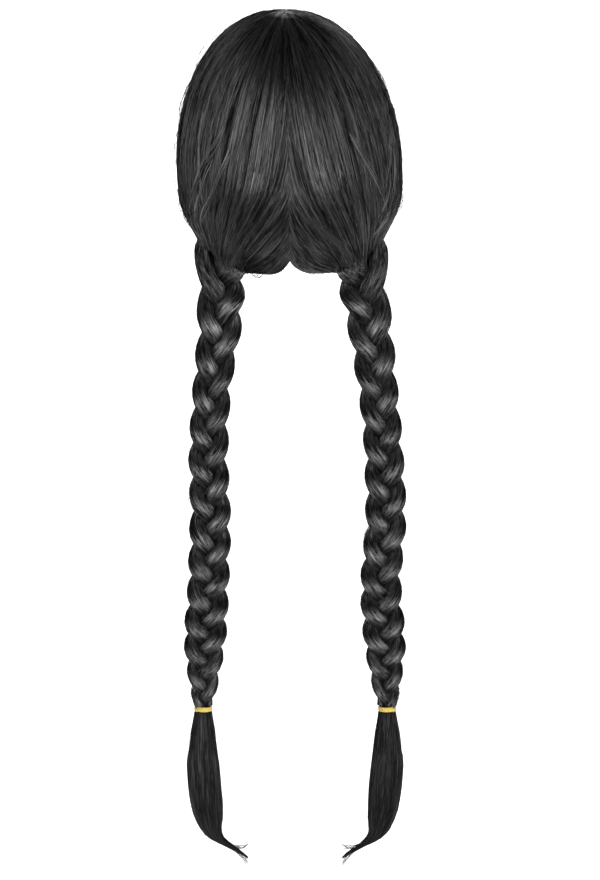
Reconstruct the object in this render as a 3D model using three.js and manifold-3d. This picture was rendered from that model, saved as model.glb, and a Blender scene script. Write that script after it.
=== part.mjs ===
// Pigtail wig: a cap that carries centre-parted hair, drawn to a three-strand plait behind each ear.
// Millimetres, +Z up, the face towards -Y and the wearer's left towards +X.
// The origin is the point inside the cap that sits on the crown of the head.

import * as THREE from "three";
import { mergeVertices } from "three/addons/utils/BufferGeometryUtils.js";
import Module from "manifold-3d";

const wasm = await Module();
wasm.setup();

// The head that the cap fits, measured from the middle of its widest level
const headHalfBreadth = 76;
const headFront = 90;
const headBack = 96;
const headCrown = 135;
const headUnderside = 77;
const roundness = 2.15;

// The cap, which is thicker along its hem
const capWall = 1.6;
const hemWall = 2.2;
const hemBand = 9;

// The hair that lies over the cap
const seatGap = 1.2;
const earStandOff = 5;
const hairThicknessCrown = 8;
const hairThicknessSide = 13;
const hairThicknessFront = 6.5;
const hairThicknessBack = 7;
const hairThicknessUnder = 8;
const lockDepth = 2.2;
const edgeThinning = 0.6;
const partingThinning = 0.3;
const pieceGap = 0.3;

// Where each side's hair is gathered, behind the jaw
const gatherOut = 59;
const gatherBack = 50;
const gatherDrop = 195;
const gatherHalfWidth = 20.5;
const gatherHalfDepth = 15.5;
const gatherNeck = 62;
const gatherTilt = 33;

// How far the outside of the hair leans to the wearer's left at the crown
const crownLean = 4.5;

// The plaits
const plaitLength = 385;
const plaitWidth = 32;
const plaitDepth = 24;
const plaitPitch = 88;
const strandGap = 0.8;
const swayOut = 25;
const swayBack = 30;

// The elastics and the loose ends below them
const elasticTurns = 3;
const elasticHeight = 5.4;
const elasticCord = 1.5;
const bindHalfWidth = 7.4;
const bindHalfDepth = 6.2;
const tailLength = 133;
const tailHalfWidth = 13.6;
const tailHalfDepth = 9;
const tailSweep = 38;

// Proportions: shares of a section's breadth or length, and degrees round the gather
const edgeReach = 0.06;
const partingReach = 0.08;
const leanReach = 0.2;
const gatherStart = 0.58;
const gatherEdge = 14;
const tiltFade = 0.13;
const wallStep = 0.02;

// Proportions of a strand in its plait: how far it swings and how far it reaches, as shares of the plait
const strandSwing = 0.325;
const strandReach = 0.175;
const strandLean = 0.12;

// Where the first strand starts in its figure of eight, in turns
const firstTurn = 1 / 6;

// How finely the rounded forms are cut
const hairRows = 11;
const lockSegments = 4;
const plaitLevels = 50;
const strandSides = 8;
const tailLevels = 7;
const tailSides = 10;
const elasticSegments = 16;
const bumpSegments = 3;
const capSegments = 24;
const capRings = 6;

const headCentre = new THREE.Vector3(0, 0, -headCrown);
const { lerp, degToRad, smoothstep, clamp } = THREE.MathUtils;

const hairMaterial = new THREE.MeshStandardMaterial({ color: 0x17171b, roughness: 0.42 });
const capMaterial = new THREE.MeshStandardMaterial({ color: 0x141416, roughness: 0.9 });
const elasticMaterial = new THREE.MeshStandardMaterial({ color: 0xd9a727, roughness: 0.6 });

// Each row is one lock's path over the head, from the forehead's parting round to the nape.
// part: where it leaves the middle, in degrees up from the forehead and over the crown.
// turn, rise: the direction from the head's middle that it is combed past, from the ear to the back and up.
// ring: its place round the gathered hair, in degrees from the outer side towards the back.
// neck: how much of gatherNeck it comes down through on its way in, where the nape's hair comes in level.
const combing = [
  { part: 40, turn: -52, rise: 4, ring: -62, neck: 1 },
  { part: 58, turn: -34, rise: 14, ring: -38, neck: 1 },
  { part: 78, turn: -14, rise: 20, ring: -8, neck: 1 },
  { part: 97, turn: 8, rise: 20, ring: 22, neck: 1 },
  { part: 112, turn: 32, rise: 14, ring: 52, neck: 1 },
  { part: 124, turn: 56, rise: 4, ring: 84, neck: 0.9 },
  { part: 146, turn: 72, rise: -8, ring: 116, neck: 0.7 },
  { part: 180, turn: 78, rise: -30, ring: 146, neck: 0.35 },
  { part: 225, turn: 66, rise: -70, ring: 184, neck: 0 },
];

// The three sections of hair that become the three strands of a plait.
// from, to: shares of the way from the forehead round to the nape.
// locks: how many show on the outside. facets: how many flats its inside has across.
const hairSections = [
  { name: "side_hair", from: 0, to: 0.375, locks: 4, facets: 5 },
  { name: "back_hair", from: 0.375, to: 0.75, locks: 5, facets: 6 },
  { name: "nape_hair", from: 0.75, to: 1, locks: 3, facets: 7 },
];

// Rows of a plait from the gather to the elastic, evenly spaced down its length.
// out, back: how far it has swayed, as shares of swayOut and swayBack.
// width, depth: shares of plaitWidth and plaitDepth. pitch: share of plaitPitch.
const plaitRows = {
  left: [
    { out: 0, back: 0.0, width: 1.34, depth: 1.22, pitch: 1.3 },
    { out: 0.02, back: 0.22, width: 1.19, depth: 1.08, pitch: 1.16 },
    { out: 0.29, back: 0.5, width: 1.02, depth: 1.0, pitch: 1.04 },
    { out: 0.41, back: 0.72, width: 1.04, depth: 1.0, pitch: 1.0 },
    { out: 0.36, back: 0.88, width: 1.08, depth: 1.0, pitch: 0.98 },
    { out: 0.43, back: 0.97, width: 1.1, depth: 1.0, pitch: 0.9 },
    { out: 0.57, back: 1.0, width: 1.1, depth: 0.98, pitch: 0.82 },
    { out: 0.64, back: 1.0, width: 0.62, depth: 0.62, pitch: 0.72 },
  ],
  right: [
    { out: 0.05, back: 0.0, width: 1.34, depth: 1.22, pitch: 1.3 },
    { out: 0.33, back: 0.22, width: 1.19, depth: 1.08, pitch: 1.16 },
    { out: 0.63, back: 0.5, width: 1.06, depth: 1.0, pitch: 1.04 },
    { out: 0.83, back: 0.72, width: 1.03, depth: 1.0, pitch: 1.0 },
    { out: 0.91, back: 0.88, width: 1.08, depth: 1.0, pitch: 0.98 },
    { out: 0.76, back: 0.97, width: 1.08, depth: 1.0, pitch: 0.9 },
    { out: 0.9, back: 1.0, width: 1.1, depth: 0.98, pitch: 0.82 },
    { out: 1.0, back: 1.0, width: 0.64, depth: 0.62, pitch: 0.72 },
  ],
};

// Rows of a loose end from the elastic to its tip, evenly spaced down its length.
// width, depth: shares of tailHalfWidth and tailHalfDepth. sweep: share of tailSweep, towards the middle.
const tailRows = [
  { width: 0.56, depth: 0.7, sweep: 0 },
  { width: 0.8, depth: 0.86, sweep: -0.01 },
  { width: 0.95, depth: 0.98, sweep: -0.01 },
  { width: 1, depth: 1, sweep: 0.02 },
  { width: 0.98, depth: 0.92, sweep: 0.06 },
  { width: 0.85, depth: 0.74, sweep: 0.12 },
  { width: 0.47, depth: 0.5, sweep: 0.27 },
  { width: 0.08, depth: 0.14, sweep: 1 },
];

// The locks that a loose end is made of.
// aside, behind: shares of its half width and half depth. size: share of its section. reach: share of its length.
const tailLocks = [
  { aside: 0, behind: 0, size: 1, reach: 1 },
  { aside: 0.6, behind: 0.35, size: 0.5, reach: 0.9 },
  { aside: -0.55, behind: 0.4, size: 0.48, reach: 0.97 },
];

// The hem of the cap, from the forehead round to the nape: degrees up from the head's widest level
const hemRows = [
  { rise: 42 },
  { rise: 38 },
  { rise: 27 },
  { rise: 16 },
  { rise: 4 },
  { rise: -12 },
  { rise: -17 },
];

const sides = [
  { name: "left", out: 1, rows: plaitRows.left },
  { name: "right", out: -1, rows: plaitRows.right },
];

const sum = (values) => values.reduce((total, value) => total + value, 0);
const range = (count) => Array.from({ length: count }, (_, i) => i);

// A column of a table at a share of its length, on a smooth curve through the rows
function sample(rows, column, share) {
  const place = clamp(share, 0, 1) * (rows.length - 1);
  const row = Math.min(Math.floor(place), rows.length - 2);
  const [a, b, c, d] = [-1, 0, 1, 2].map((step) => rows[clamp(row + step, 0, rows.length - 1)][column]);
  const t = place - row;
  return b + (t * (c - a + t * (2 * a - 5 * b + 4 * c - d + t * (3 * (b - c) + d - a)))) / 2;
}

// The signed volume that a list of triangles encloses
function signedVolume(positions, index) {
  const [a, b, c] = [new THREE.Vector3(), new THREE.Vector3(), new THREE.Vector3()];
  let volume = 0;
  for (let i = 0; i < index.length; i += 3) {
    [a, b, c].forEach((corner, k) => corner.copy(positions[index[i + k]]));
    volume += a.dot(b.cross(c)) / 6;
  }
  return volume;
}

// A closed geometry of indexed corners, with its faces turned outwards
function closedGeometry(positions, index) {
  const turned = signedVolume(positions, index) < 0 ? index.toReversed() : index;
  const geometry = new THREE.BufferGeometry().setFromPoints(positions);
  geometry.setIndex(turned);
  return geometry;
}

// Triangles over a flat loop of any shape
function capTriangles(loop) {
  const centre = loop.reduce((total, point) => total.add(point), new THREE.Vector3()).divideScalar(loop.length);
  const normal = new THREE.Vector3();
  loop.forEach((point, i) => {
    const arm = point.clone().sub(centre);
    normal.add(arm.cross(loop[(i + 1) % loop.length].clone().sub(centre)));
  });
  const flat = new THREE.Quaternion().setFromUnitVectors(normal.normalize(), new THREE.Vector3(0, 0, 1));
  const outline = loop.map((point) => {
    const laid = point.clone().sub(centre).applyQuaternion(flat);
    return new THREE.Vector2(laid.x, laid.y);
  });
  return THREE.ShapeUtils.triangulateShape(outline, []);
}

// A solid through closed loops that all have the same number of points, pointed at both ends where tips are given
function loft(loops, tips = []) {
  const count = loops[0].length;
  const index = [];
  for (let row = 0; row < loops.length - 1; row++) {
    for (let i = 0; i < count; i++) {
      const [a, b] = [row * count + i, row * count + ((i + 1) % count)];
      // The closing strip is split the other way, so that it lies along the wall of a loft beside it
      const closing = i === count - 1;
      index.push(a, b, closing ? a + count : b + count);
      index.push(closing ? b : a, b + count, a + count);
    }
  }
  const last = (loops.length - 1) * count;
  if (tips.length) {
    const tip = loops.length * count;
    range(count).forEach((i) => index.push(tip, (i + 1) % count, i));
    range(count).forEach((i) => index.push(tip + 1, last + i, last + ((i + 1) % count)));
  } else {
    capTriangles(loops[0]).forEach(([a, b, c]) => index.push(c, b, a));
    capTriangles(loops.at(-1)).forEach(([a, b, c]) => index.push(last + a, last + b, last + c));
  }
  return closedGeometry([...loops.flat(), ...tips], index);
}

function solidOf(geometry) {
  const bare = new THREE.BufferGeometry().setAttribute("position", geometry.getAttribute("position"));
  bare.setIndex(geometry.getIndex());
  const merged = mergeVertices(bare);
  const vertProperties = merged.getAttribute("position").array;
  const triVerts = new Uint32Array(merged.getIndex().array);
  return new wasm.Manifold(new wasm.Mesh({ numProp: 3, vertProperties, triVerts }));
}

function geometryOf(solid) {
  const mesh = solid.getMesh();
  const geometry = new THREE.BufferGeometry();
  geometry.setAttribute("position", new THREE.BufferAttribute(mesh.vertProperties, 3));
  geometry.setIndex(new THREE.BufferAttribute(mesh.triVerts, 1));
  return geometry;
}

// A direction from the head's middle: turn from the left ear towards the back, rise above the level
function direction(turn, rise) {
  const [round, up] = [degToRad(turn), degToRad(rise)];
  return new THREE.Vector3(Math.cos(up) * Math.cos(round), Math.cos(up) * Math.sin(round), Math.sin(up));
}

// A point of the head's rounded form, grown by its own amount each way
function domePoint(toward, grown) {
  const reach = new THREE.Vector3(
    headHalfBreadth + grown.side,
    toward.y < 0 ? headFront + grown.front : headBack + grown.back,
    toward.z < 0 ? headUnderside + grown.under : headCrown + grown.crown,
  );
  const size = sum(toward.toArray().map((part) => Math.abs(part) ** roundness)) ** (1 / roundness);
  return toward.clone().divideScalar(size).multiply(reach).add(headCentre);
}

// How far a layer stands out from the head when it is equally thick all over
function evenGrowth(amount) {
  return { side: amount, front: amount, back: amount, under: amount, crown: amount };
}

// How far the hair stands out from the head: depth is 0 on its outside and 1 on its inside
function hairGrowth(depth, inset) {
  const seat = hemWall + seatGap;
  const outside = 1 - depth;
  return {
    side: seat + earStandOff + hairThicknessSide * outside - inset,
    front: seat + hairThicknessFront * outside - inset,
    back: seat + hairThicknessBack * outside - inset,
    under: seat + hairThicknessUnder * outside - inset,
    crown: seat + hairThicknessCrown * outside - inset,
  };
}

// The middle of a plait at a share of its length, as if it hung on the left
function plaitMiddle(side, share) {
  return new THREE.Vector3(
    gatherOut + swayOut * sample(side.rows, "out", share),
    gatherBack + swayBack * sample(side.rows, "back", share),
    -gatherDrop - pieceGap - plaitLength * share,
  );
}

// A point on the round neck of gathered hair: ring is degrees round it, up how far above the gather it lies
function gatherPoint(side, ring, up, inset) {
  const middle = plaitMiddle(side, 0);
  const out = (gatherHalfWidth - inset) * Math.cos(degToRad(ring));
  const back = (gatherHalfDepth - inset) * Math.sin(degToRad(ring));
  const tilted = out * Math.tan(degToRad(gatherTilt));
  return new THREE.Vector3(middle.x + out, middle.y + back, -gatherDrop + tilted + up);
}

// How far the outside of the hair is sunk between two locks of a section
function lockInset(section, round, along) {
  const place = ((round - section.from) / (section.to - section.from)) * section.locks;
  const crest = Math.abs(Math.sin(Math.PI * place)) ** 0.7;
  return lockDepth * (1 - crest) * smoothstep(along, 0.04, 0.3);
}

// How far the outside of the hair comes down to its inside, at the parting and along its free edges
function thinning(round, along) {
  const edge = 1 - smoothstep(Math.min(round, 1 - round), 0, edgeReach);
  const parting = 1 - smoothstep(along, 0, partingReach);
  return Math.max(edgeThinning * edge, partingThinning * parting);
}

// A point of the left side's hair. round: share from the forehead's edge to the nape's.
// along: share from the parting to the gather. inside: true on the face towards the head.
function hairPoint(side, round, along, inside, inset) {
  const part = degToRad(sample(combing, "part", round));
  const past = direction(sample(combing, "turn", round), sample(combing, "rise", round));
  const outerRing = sample(combing, "ring", round);
  const innerRing = lerp(combing[0].ring - gatherEdge, combing.at(-1).ring - 360 + gatherEdge, round);
  const growth = hairGrowth(inside ? 1 : thinning(round, along), inset);
  const up = gatherNeck * sample(combing, "neck", round) * (1 - along);
  const seat = gatherPoint(side, inside ? innerRing : outerRing, up, inset);
  const end = gatherPoint(side, outerRing, 0, 0).sub(headCentre);
  end.divide(new THREE.Vector3(headHalfBreadth, headBack, headUnderside)).normalize();
  const toward = new THREE.Vector3(0, -Math.cos(part), Math.sin(part)).multiplyScalar((1 - along) ** 2);
  toward.addScaledVector(past, 2 * along * (1 - along)).addScaledVector(end, along ** 2);
  const draped = domePoint(toward.normalize(), growth);
  const lean = clamp(1 + draped.z / headCrown, 0, 1) * smoothstep(along, 0, leanReach);
  draped.x += inside ? 0 : side.out * crownLean * lean;
  return draped.lerp(seat, smoothstep(along, gatherStart, 1)).add(new THREE.Vector3(pieceGap / 2, 0, 0));
}

// A section's own point: its walls stand back half a gap from the line that they share with the next section
function sectionPoint(side, section, round, along, inside) {
  const inset = inside ? 0 : lockInset(section, round, along);
  const point = hairPoint(side, round, along, inside, inset);
  const shared = round > 0 && round < 1 && (round === section.from || round === section.to);
  if (!shared) return point;
  const within = round === section.from ? wallStep : -wallStep;
  const beside = hairPoint(side, round + within, along, inside, inset);
  return point.addScaledVector(beside.sub(point).normalize(), pieceGap / 2);
}

// One section of hair, from the parting to its place in the gather
function hairSection(side, section) {
  const outerSteps = section.locks * lockSegments;
  const at = (i, steps) => lerp(section.from, section.to, i / steps);
  const loops = range(hairRows + 1).map((row) => {
    const along = row / hairRows;
    const outer = range(outerSteps + 1).map((i) => sectionPoint(side, section, at(i, outerSteps), along, false));
    const inner = range(section.facets + 1).map((i) => sectionPoint(side, section, at(i, section.facets), along, true));
    return [...outer, ...inner.reverse()];
  });
  return loft(loops);
}

// Where each strand is in its figure of eight, in turns, at every level of a plait
function plaitTurns(side) {
  const turns = [0];
  for (let level = 0; level < plaitLevels; level++) {
    const pitch = plaitPitch * sample(side.rows, "pitch", (level + 0.5) / plaitLevels);
    turns.push(turns[level] + plaitLength / plaitLevels / pitch);
  }
  return turns;
}

// The middle of one strand in a plait's own width and depth, with the inward passes at the back
function strandPlace(turn) {
  const angle = 2 * Math.PI * turn;
  return new THREE.Vector2(strandSwing * Math.sin(angle), -strandSwing * Math.sin(2 * angle));
}

// A strand's outline at one level, flattened where it presses on the other two
function strandOutline(width, depth, turn, grown) {
  const reach = new THREE.Vector2(width * strandReach, depth * strandReach);
  const place = (shift) => strandPlace(turn + shift).divideScalar(strandReach);
  const lean = 1 + strandLean * Math.cos(2 * Math.PI * turn) ** 2;
  const middle = place(0);
  const neighbours = [1 / 3, 2 / 3].map((shift) => place(shift).sub(middle));
  const halfGap = strandGap / 2 / Math.min(reach.x, reach.y);
  return range(strandSides).map((i) => {
    const heading = new THREE.Vector2(1, 0).rotateAround(new THREE.Vector2(), (2 * Math.PI * i) / strandSides);
    const limits = neighbours.map((other) => {
      const facing = heading.dot(other) / other.length();
      return facing > 0 ? (other.length() / 2 - halfGap) / facing : Infinity;
    });
    const full = 1 / Math.hypot(heading.x / lean, heading.y);
    const outward = heading.clone().multiplyScalar(grown);
    return heading.multiplyScalar(Math.min(full, ...limits)).add(middle).multiply(reach).add(outward);
  });
}

// One strand of a plait, through level outlines, which are grown by an amount
function strandForm(side, strand, grown) {
  const turns = plaitTurns(side);
  const loops = turns.map((turn, level) => {
    const share = level / plaitLevels;
    const middle = plaitMiddle(side, share);
    const width = plaitWidth * sample(side.rows, "width", share);
    const depth = plaitDepth * sample(side.rows, "depth", share);
    const tilt = Math.tan(degToRad(gatherTilt)) * (1 - smoothstep(share, 0, tiltFade));
    return strandOutline(width, depth, turn + firstTurn + strand / 3, grown).map(
      (point) => new THREE.Vector3(point.x, point.y, point.x * tilt).add(middle),
    );
  });
  return solidOf(loft(loops));
}

// A strand gives way to those before it wherever they press on each other
function plaitStrand(side, strand) {
  const before = range(strand).map((other) => strandForm(side, other, pieceGap));
  return geometryOf(before.reduce((rest, other) => rest.subtract(other), strandForm(side, strand, 0)));
}

function ellipse(middle, halfWidth, halfDepth, count) {
  return range(count).map((i) => {
    const angle = (2 * Math.PI * i) / count;
    return new THREE.Vector3(halfWidth * Math.cos(angle), halfDepth * Math.sin(angle), 0).add(middle);
  });
}

// The top of the bound neck, just below the plait's last level
function bindTop(side) {
  return plaitMiddle(side, 1).add(new THREE.Vector3(0, 0, -pieceGap));
}

// One lock of a loose end
function tailLock(side, lock) {
  const top = bindTop(side);
  const loops = range(tailLevels + 1).map((level) => {
    const share = level / tailLevels;
    const spread = smoothstep(share, 0, 0.35);
    const halfWidth = tailHalfWidth * sample(tailRows, "width", share);
    const halfDepth = tailHalfDepth * sample(tailRows, "depth", share);
    const middle = new THREE.Vector3(
      top.x - tailSweep * sample(tailRows, "sweep", share) + spread * lock.aside * halfWidth,
      top.y + spread * lock.behind * halfDepth,
      top.z - elasticHeight - lerp(pieceGap, tailLength * lock.reach, share),
    );
    return ellipse(middle, halfWidth * lock.size, halfDepth * lock.size, tailSides);
  });
  return solidOf(loft(loops));
}

// The loose end of a plait: its locks fused to the neck that the elastic binds
function plaitTail(side) {
  const top = bindTop(side);
  const levels = [0, -elasticHeight - elasticCord];
  const neck = loft(levels.map((drop) => {
    const middle = top.clone().add(new THREE.Vector3(0, 0, drop));
    return ellipse(middle, bindHalfWidth, bindHalfDepth, 2 * tailSides);
  }));
  const fused = tailLocks.reduce((whole, lock) => whole.add(tailLock(side, lock)), solidOf(neck));
  return geometryOf(fused);
}

// A thin elastic wound round the neck a few times
function elastic(side) {
  const inner = bindHalfWidth + pieceGap / Math.min(1, bindHalfDepth / bindHalfWidth);
  const turnHeight = elasticHeight / elasticTurns;
  const bump = (turn) => range(bumpSegments).map((i) => {
    const angle = (Math.PI * (i + 0.5)) / bumpSegments;
    const height = (turn + 0.5 - Math.cos(angle) / 2) * turnHeight;
    return new THREE.Vector2(inner + elasticCord * (0.35 + 0.65 * Math.sin(angle)), height);
  });
  const profile = [
    new THREE.Vector2(inner, elasticHeight),
    new THREE.Vector2(inner, 0),
    ...range(elasticTurns).flatMap(bump),
    new THREE.Vector2(inner, elasticHeight),
  ];
  const ring = new THREE.LatheGeometry(profile, elasticSegments);
  ring.rotateX(Math.PI / 2).scale(1, bindHalfDepth / bindHalfWidth, 1);
  const place = bindTop(side);
  return ring.translate(place.x, place.y, place.z - elasticHeight);
}

// A ring of the cap's surface, down from the crown to the hem
function capRing(down, thickness) {
  return range(capSegments).map((i) => {
    const turn = (360 * i) / capSegments - 90;
    const share = 1 - Math.abs(1 - (2 * i) / capSegments);
    const hem = sample(hemRows, "rise", share);
    return domePoint(direction(turn, lerp(90, hem, down)), evenGrowth(thickness));
  });
}

// The cap: a thin dome, thicker along its hem
function cap() {
  const hemShare = hemBand / (headCrown * degToRad(90));
  const downs = range(capRings).map((i) => ((i + 1) * (1 - hemShare)) / capRings);
  const outer = downs.map((down) => capRing(down, capWall));
  const hem = [capRing(1 - hemShare / 2, hemWall), capRing(1, hemWall)];
  const inner = [...downs, 1].map((down) => capRing(down, 0)).reverse();
  const tips = [capWall, 0].map((thickness) => domePoint(new THREE.Vector3(0, 0, 1), evenGrowth(thickness)));
  return loft([...outer, ...hem, ...inner], tips);
}

// A geometry moved to the other side of the head
function mirrored(geometry) {
  const position = geometry.getAttribute("position");
  const positions = range(position.count).map((i) => new THREE.Vector3().fromBufferAttribute(position, i));
  positions.forEach((point) => point.setX(-point.x));
  return closedGeometry(positions, Array.from(geometry.getIndex().array));
}

function mesh(name, geometry, material) {
  geometry.computeVertexNormals();
  const made = new THREE.Mesh(geometry, material);
  made.name = name;
  return made;
}

// The hair, plait, elastic and loose end of one side
function sideGroup(side) {
  const placed = (geometry) => (side.out < 0 ? mirrored(geometry) : geometry);
  const group = new THREE.Group();
  hairSections.forEach((section) => {
    group.add(mesh(`${section.name}_${side.name}`, placed(hairSection(side, section)), hairMaterial));
  });
  range(3).forEach((i) => {
    group.add(mesh(`plait_${side.name}_strand_${i + 1}`, placed(plaitStrand(side, i)), hairMaterial));
  });
  group.add(mesh(`elastic_${side.name}`, placed(elastic(side)), elasticMaterial));
  group.add(mesh(`tail_${side.name}`, placed(plaitTail(side)), hairMaterial));
  return group;
}

const wig = new THREE.Group();
wig.add(mesh("wig_cap", cap(), capMaterial));
sides.forEach((side) => wig.add(sideGroup(side)));

export default wig;
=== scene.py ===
"""A pigtail wig on its cap, combed to a plait behind each ear, in plain pale studio light.

Metres, +Z up, the face towards -Y and the wearer's left towards +X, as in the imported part.
Every hair piece is a shaped bed with thousands of drawn fibres laid over it along the same combing.
"""

import math

import bpy
import numpy as np
from mathutils import Euler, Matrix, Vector


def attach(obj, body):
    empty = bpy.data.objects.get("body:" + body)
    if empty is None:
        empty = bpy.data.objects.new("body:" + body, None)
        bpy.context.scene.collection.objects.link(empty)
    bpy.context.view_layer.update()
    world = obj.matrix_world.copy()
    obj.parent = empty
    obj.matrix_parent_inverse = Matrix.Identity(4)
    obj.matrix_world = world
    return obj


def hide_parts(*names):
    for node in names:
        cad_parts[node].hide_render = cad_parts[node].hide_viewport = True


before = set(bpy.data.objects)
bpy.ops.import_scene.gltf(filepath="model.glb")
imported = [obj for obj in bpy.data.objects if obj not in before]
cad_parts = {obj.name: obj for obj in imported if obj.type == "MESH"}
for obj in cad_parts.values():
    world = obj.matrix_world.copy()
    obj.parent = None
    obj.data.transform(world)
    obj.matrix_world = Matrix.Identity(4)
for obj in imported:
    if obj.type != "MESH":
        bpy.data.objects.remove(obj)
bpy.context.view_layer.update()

# The head that the cap fits, measured from the middle of its widest level
HEAD_HALF_BREADTH = 0.076
HEAD_FRONT = 0.090
HEAD_BACK = 0.096
HEAD_CROWN = 0.135
HEAD_UNDERSIDE = 0.077
ROUNDNESS = 2.15

# The cap and the hair over it
CAP_WALL = 0.0016
HEM_WALL = 0.0022
SEAT_GAP = 0.0012
EAR_STAND_OFF = 0.005
THICKNESS_CROWN = 0.008
THICKNESS_SIDE = 0.013
THICKNESS_FRONT = 0.0065
THICKNESS_BACK = 0.007
THICKNESS_UNDER = 0.008
EDGE_THINNING = 0.6
PARTING_THINNING = 0.35
PIECE_GAP = 0.0003
CROWN_LEAN = 0.0045

# Where each side's hair is gathered
GATHER_OUT = 0.059
GATHER_BACK = 0.050
GATHER_DROP = 0.195
GATHER_HALF_WIDTH = 0.0205
GATHER_HALF_DEPTH = 0.0155
GATHER_NECK = 0.062
GATHER_TILT = 33
GATHER_START = 0.58
GATHER_EDGE = 14

# The plaits
PLAIT_LENGTH = 0.385
PLAIT_WIDTH = 0.032
PLAIT_DEPTH = 0.024
PLAIT_PITCH = 0.088
SWAY_OUT = 0.025
SWAY_BACK = 0.030
FIRST_TURN = 1 / 6
TILT_FADE = 0.13

# The elastics and the loose ends below them
ELASTIC_HEIGHT = 0.0054
ELASTIC_CORD = 0.0015
BIND_HALF_WIDTH = 0.0074
BIND_HALF_DEPTH = 0.0062
TAIL_LENGTH = 0.133
TAIL_HALF_WIDTH = 0.0136
TAIL_HALF_DEPTH = 0.009
TAIL_SWEEP = 0.038

HEAD_CENTRE = np.array([0.0, 0.0, -HEAD_CROWN])

# How far the two sides overlap at the middle, and the rises and sinks of the hair's outside
MIDLINE_OVERLAP = 0.0004
LOCK_RISES = (0.0007, 0.00045, 0.00025)
GROOVE_DEPTH = 0.0015
OVERLAP_RISE = 0.0012
TUCK = 0.0013
SLACK_BULGE = 0.0028
GATHER_PINCH = 0.0022

# The fibres: radii, how far they lift off their bed, and how far loose ones stand off
HEAD_FIBRE = 0.00024
FINE_FIBRE = 0.00022
LIFT = 0.0007
LOOSE_REACH = 0.006

# The strands of a plait in its cross-section, as shares of its width and depth
SWING = np.array([0.265, 0.2])
REACH = np.array([0.24, 0.3])
BOXINESS = 2.6
INWARD = 0.25
TWIST = 0.7
STRAND_GAP = 0.0007
CRISPNESS = 8.0

# Painted shade and painted highlight on the sheen of a plait's strands, on a map whose reach counts turns:
# duller where a strand dives under the others, brighter over the middle of each lobe
MOST_TURNS = 8
LOBE_CENTRE = 0.35
LOBE_PAINTED_SHADE = 0.3
LOBE_PAINTED_HIGHLIGHT = 1.1

# Colours
HAIR_STOPS = [(0.0, (0.0015, 0.0015, 0.0018)), (0.55, (0.005, 0.005, 0.0055)), (1.0, (0.017, 0.017, 0.019))]
NET_STOPS = [(0.3, (0.006, 0.006, 0.007)), (0.8, (0.03, 0.03, 0.034))]
GOLD_STOPS = [(0.1, (0.16, 0.09, 0.008)), (0.5, (0.46, 0.33, 0.04)), (1.0, (0.7, 0.56, 0.11))]
# The pale streaks round the whorl are a painted highlight on the hair
WHORL_HIGHLIGHT_COLOUR = (0.62, 0.64, 0.65)

# The light of the studio's surroundings on the wig, and as the camera sees it
ROOM_LIGHT = 0.07
BACKDROP_LIGHT = 0.8

# Rows of combing from the forehead's edge round to the nape's, evenly spaced.
# part: where the hair leaves the middle, in degrees up from the forehead and over the crown.
# turn and rise: directions from the head's middle that it passes a third and two thirds of the way.
# ring: its place round the gathered hair. neck: its share of the gathered neck's height.
COMBING = [
    {"part": 40, "turn_a": -61, "rise_a": 19, "turn_b": -26, "rise_b": -13, "ring": -62, "neck": 1},
    {"part": 52, "turn_a": -51, "rise_a": 30, "turn_b": -17, "rise_b": -5, "ring": -46, "neck": 1},
    {"part": 65, "turn_a": -36, "rise_a": 39, "turn_b": -7, "rise_b": 1, "ring": -28, "neck": 1},
    {"part": 78, "turn_a": -17, "rise_a": 46, "turn_b": 3, "rise_b": 4, "ring": -8, "neck": 1},
    {"part": 90, "turn_a": 7, "rise_a": 48, "turn_b": 13, "rise_b": 5, "ring": 12, "neck": 1},
    {"part": 98, "turn_a": 27, "rise_a": 45, "turn_b": 25, "rise_b": 3, "ring": 32, "neck": 1},
    {"part": 101, "turn_a": 44, "rise_a": 40, "turn_b": 36, "rise_b": -1, "ring": 52, "neck": 1},
    {"part": 102, "turn_a": 61, "rise_a": 39, "turn_b": 49, "rise_b": -3, "ring": 73, "neck": 0.95},
    {"part": 103, "turn_a": 77, "rise_a": 39, "turn_b": 65, "rise_b": -4, "ring": 94, "neck": 0.85},
    {"part": 106, "turn_a": 87, "rise_a": 33, "turn_b": 78, "rise_b": -6, "ring": 116, "neck": 0.7},
    {"part": 160, "turn_a": 84, "rise_a": -3, "turn_b": 68, "rise_b": -27, "ring": 136, "neck": 0.46},
    {"part": 190, "turn_a": 83, "rise_a": -28, "turn_b": 66, "rise_b": -43, "ring": 158, "neck": 0.22},
    {"part": 225, "turn_a": 78, "rise_a": -58, "turn_b": 58, "rise_b": -61, "ring": 184, "neck": 0},
]

SECTIONS = [
    {"name": "side_hair", "start": 0.0, "end": 0.375},
    {"name": "back_hair", "start": 0.375, "end": 0.75},
    {"name": "nape_hair", "start": 0.75, "end": 1.0},
]

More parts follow.
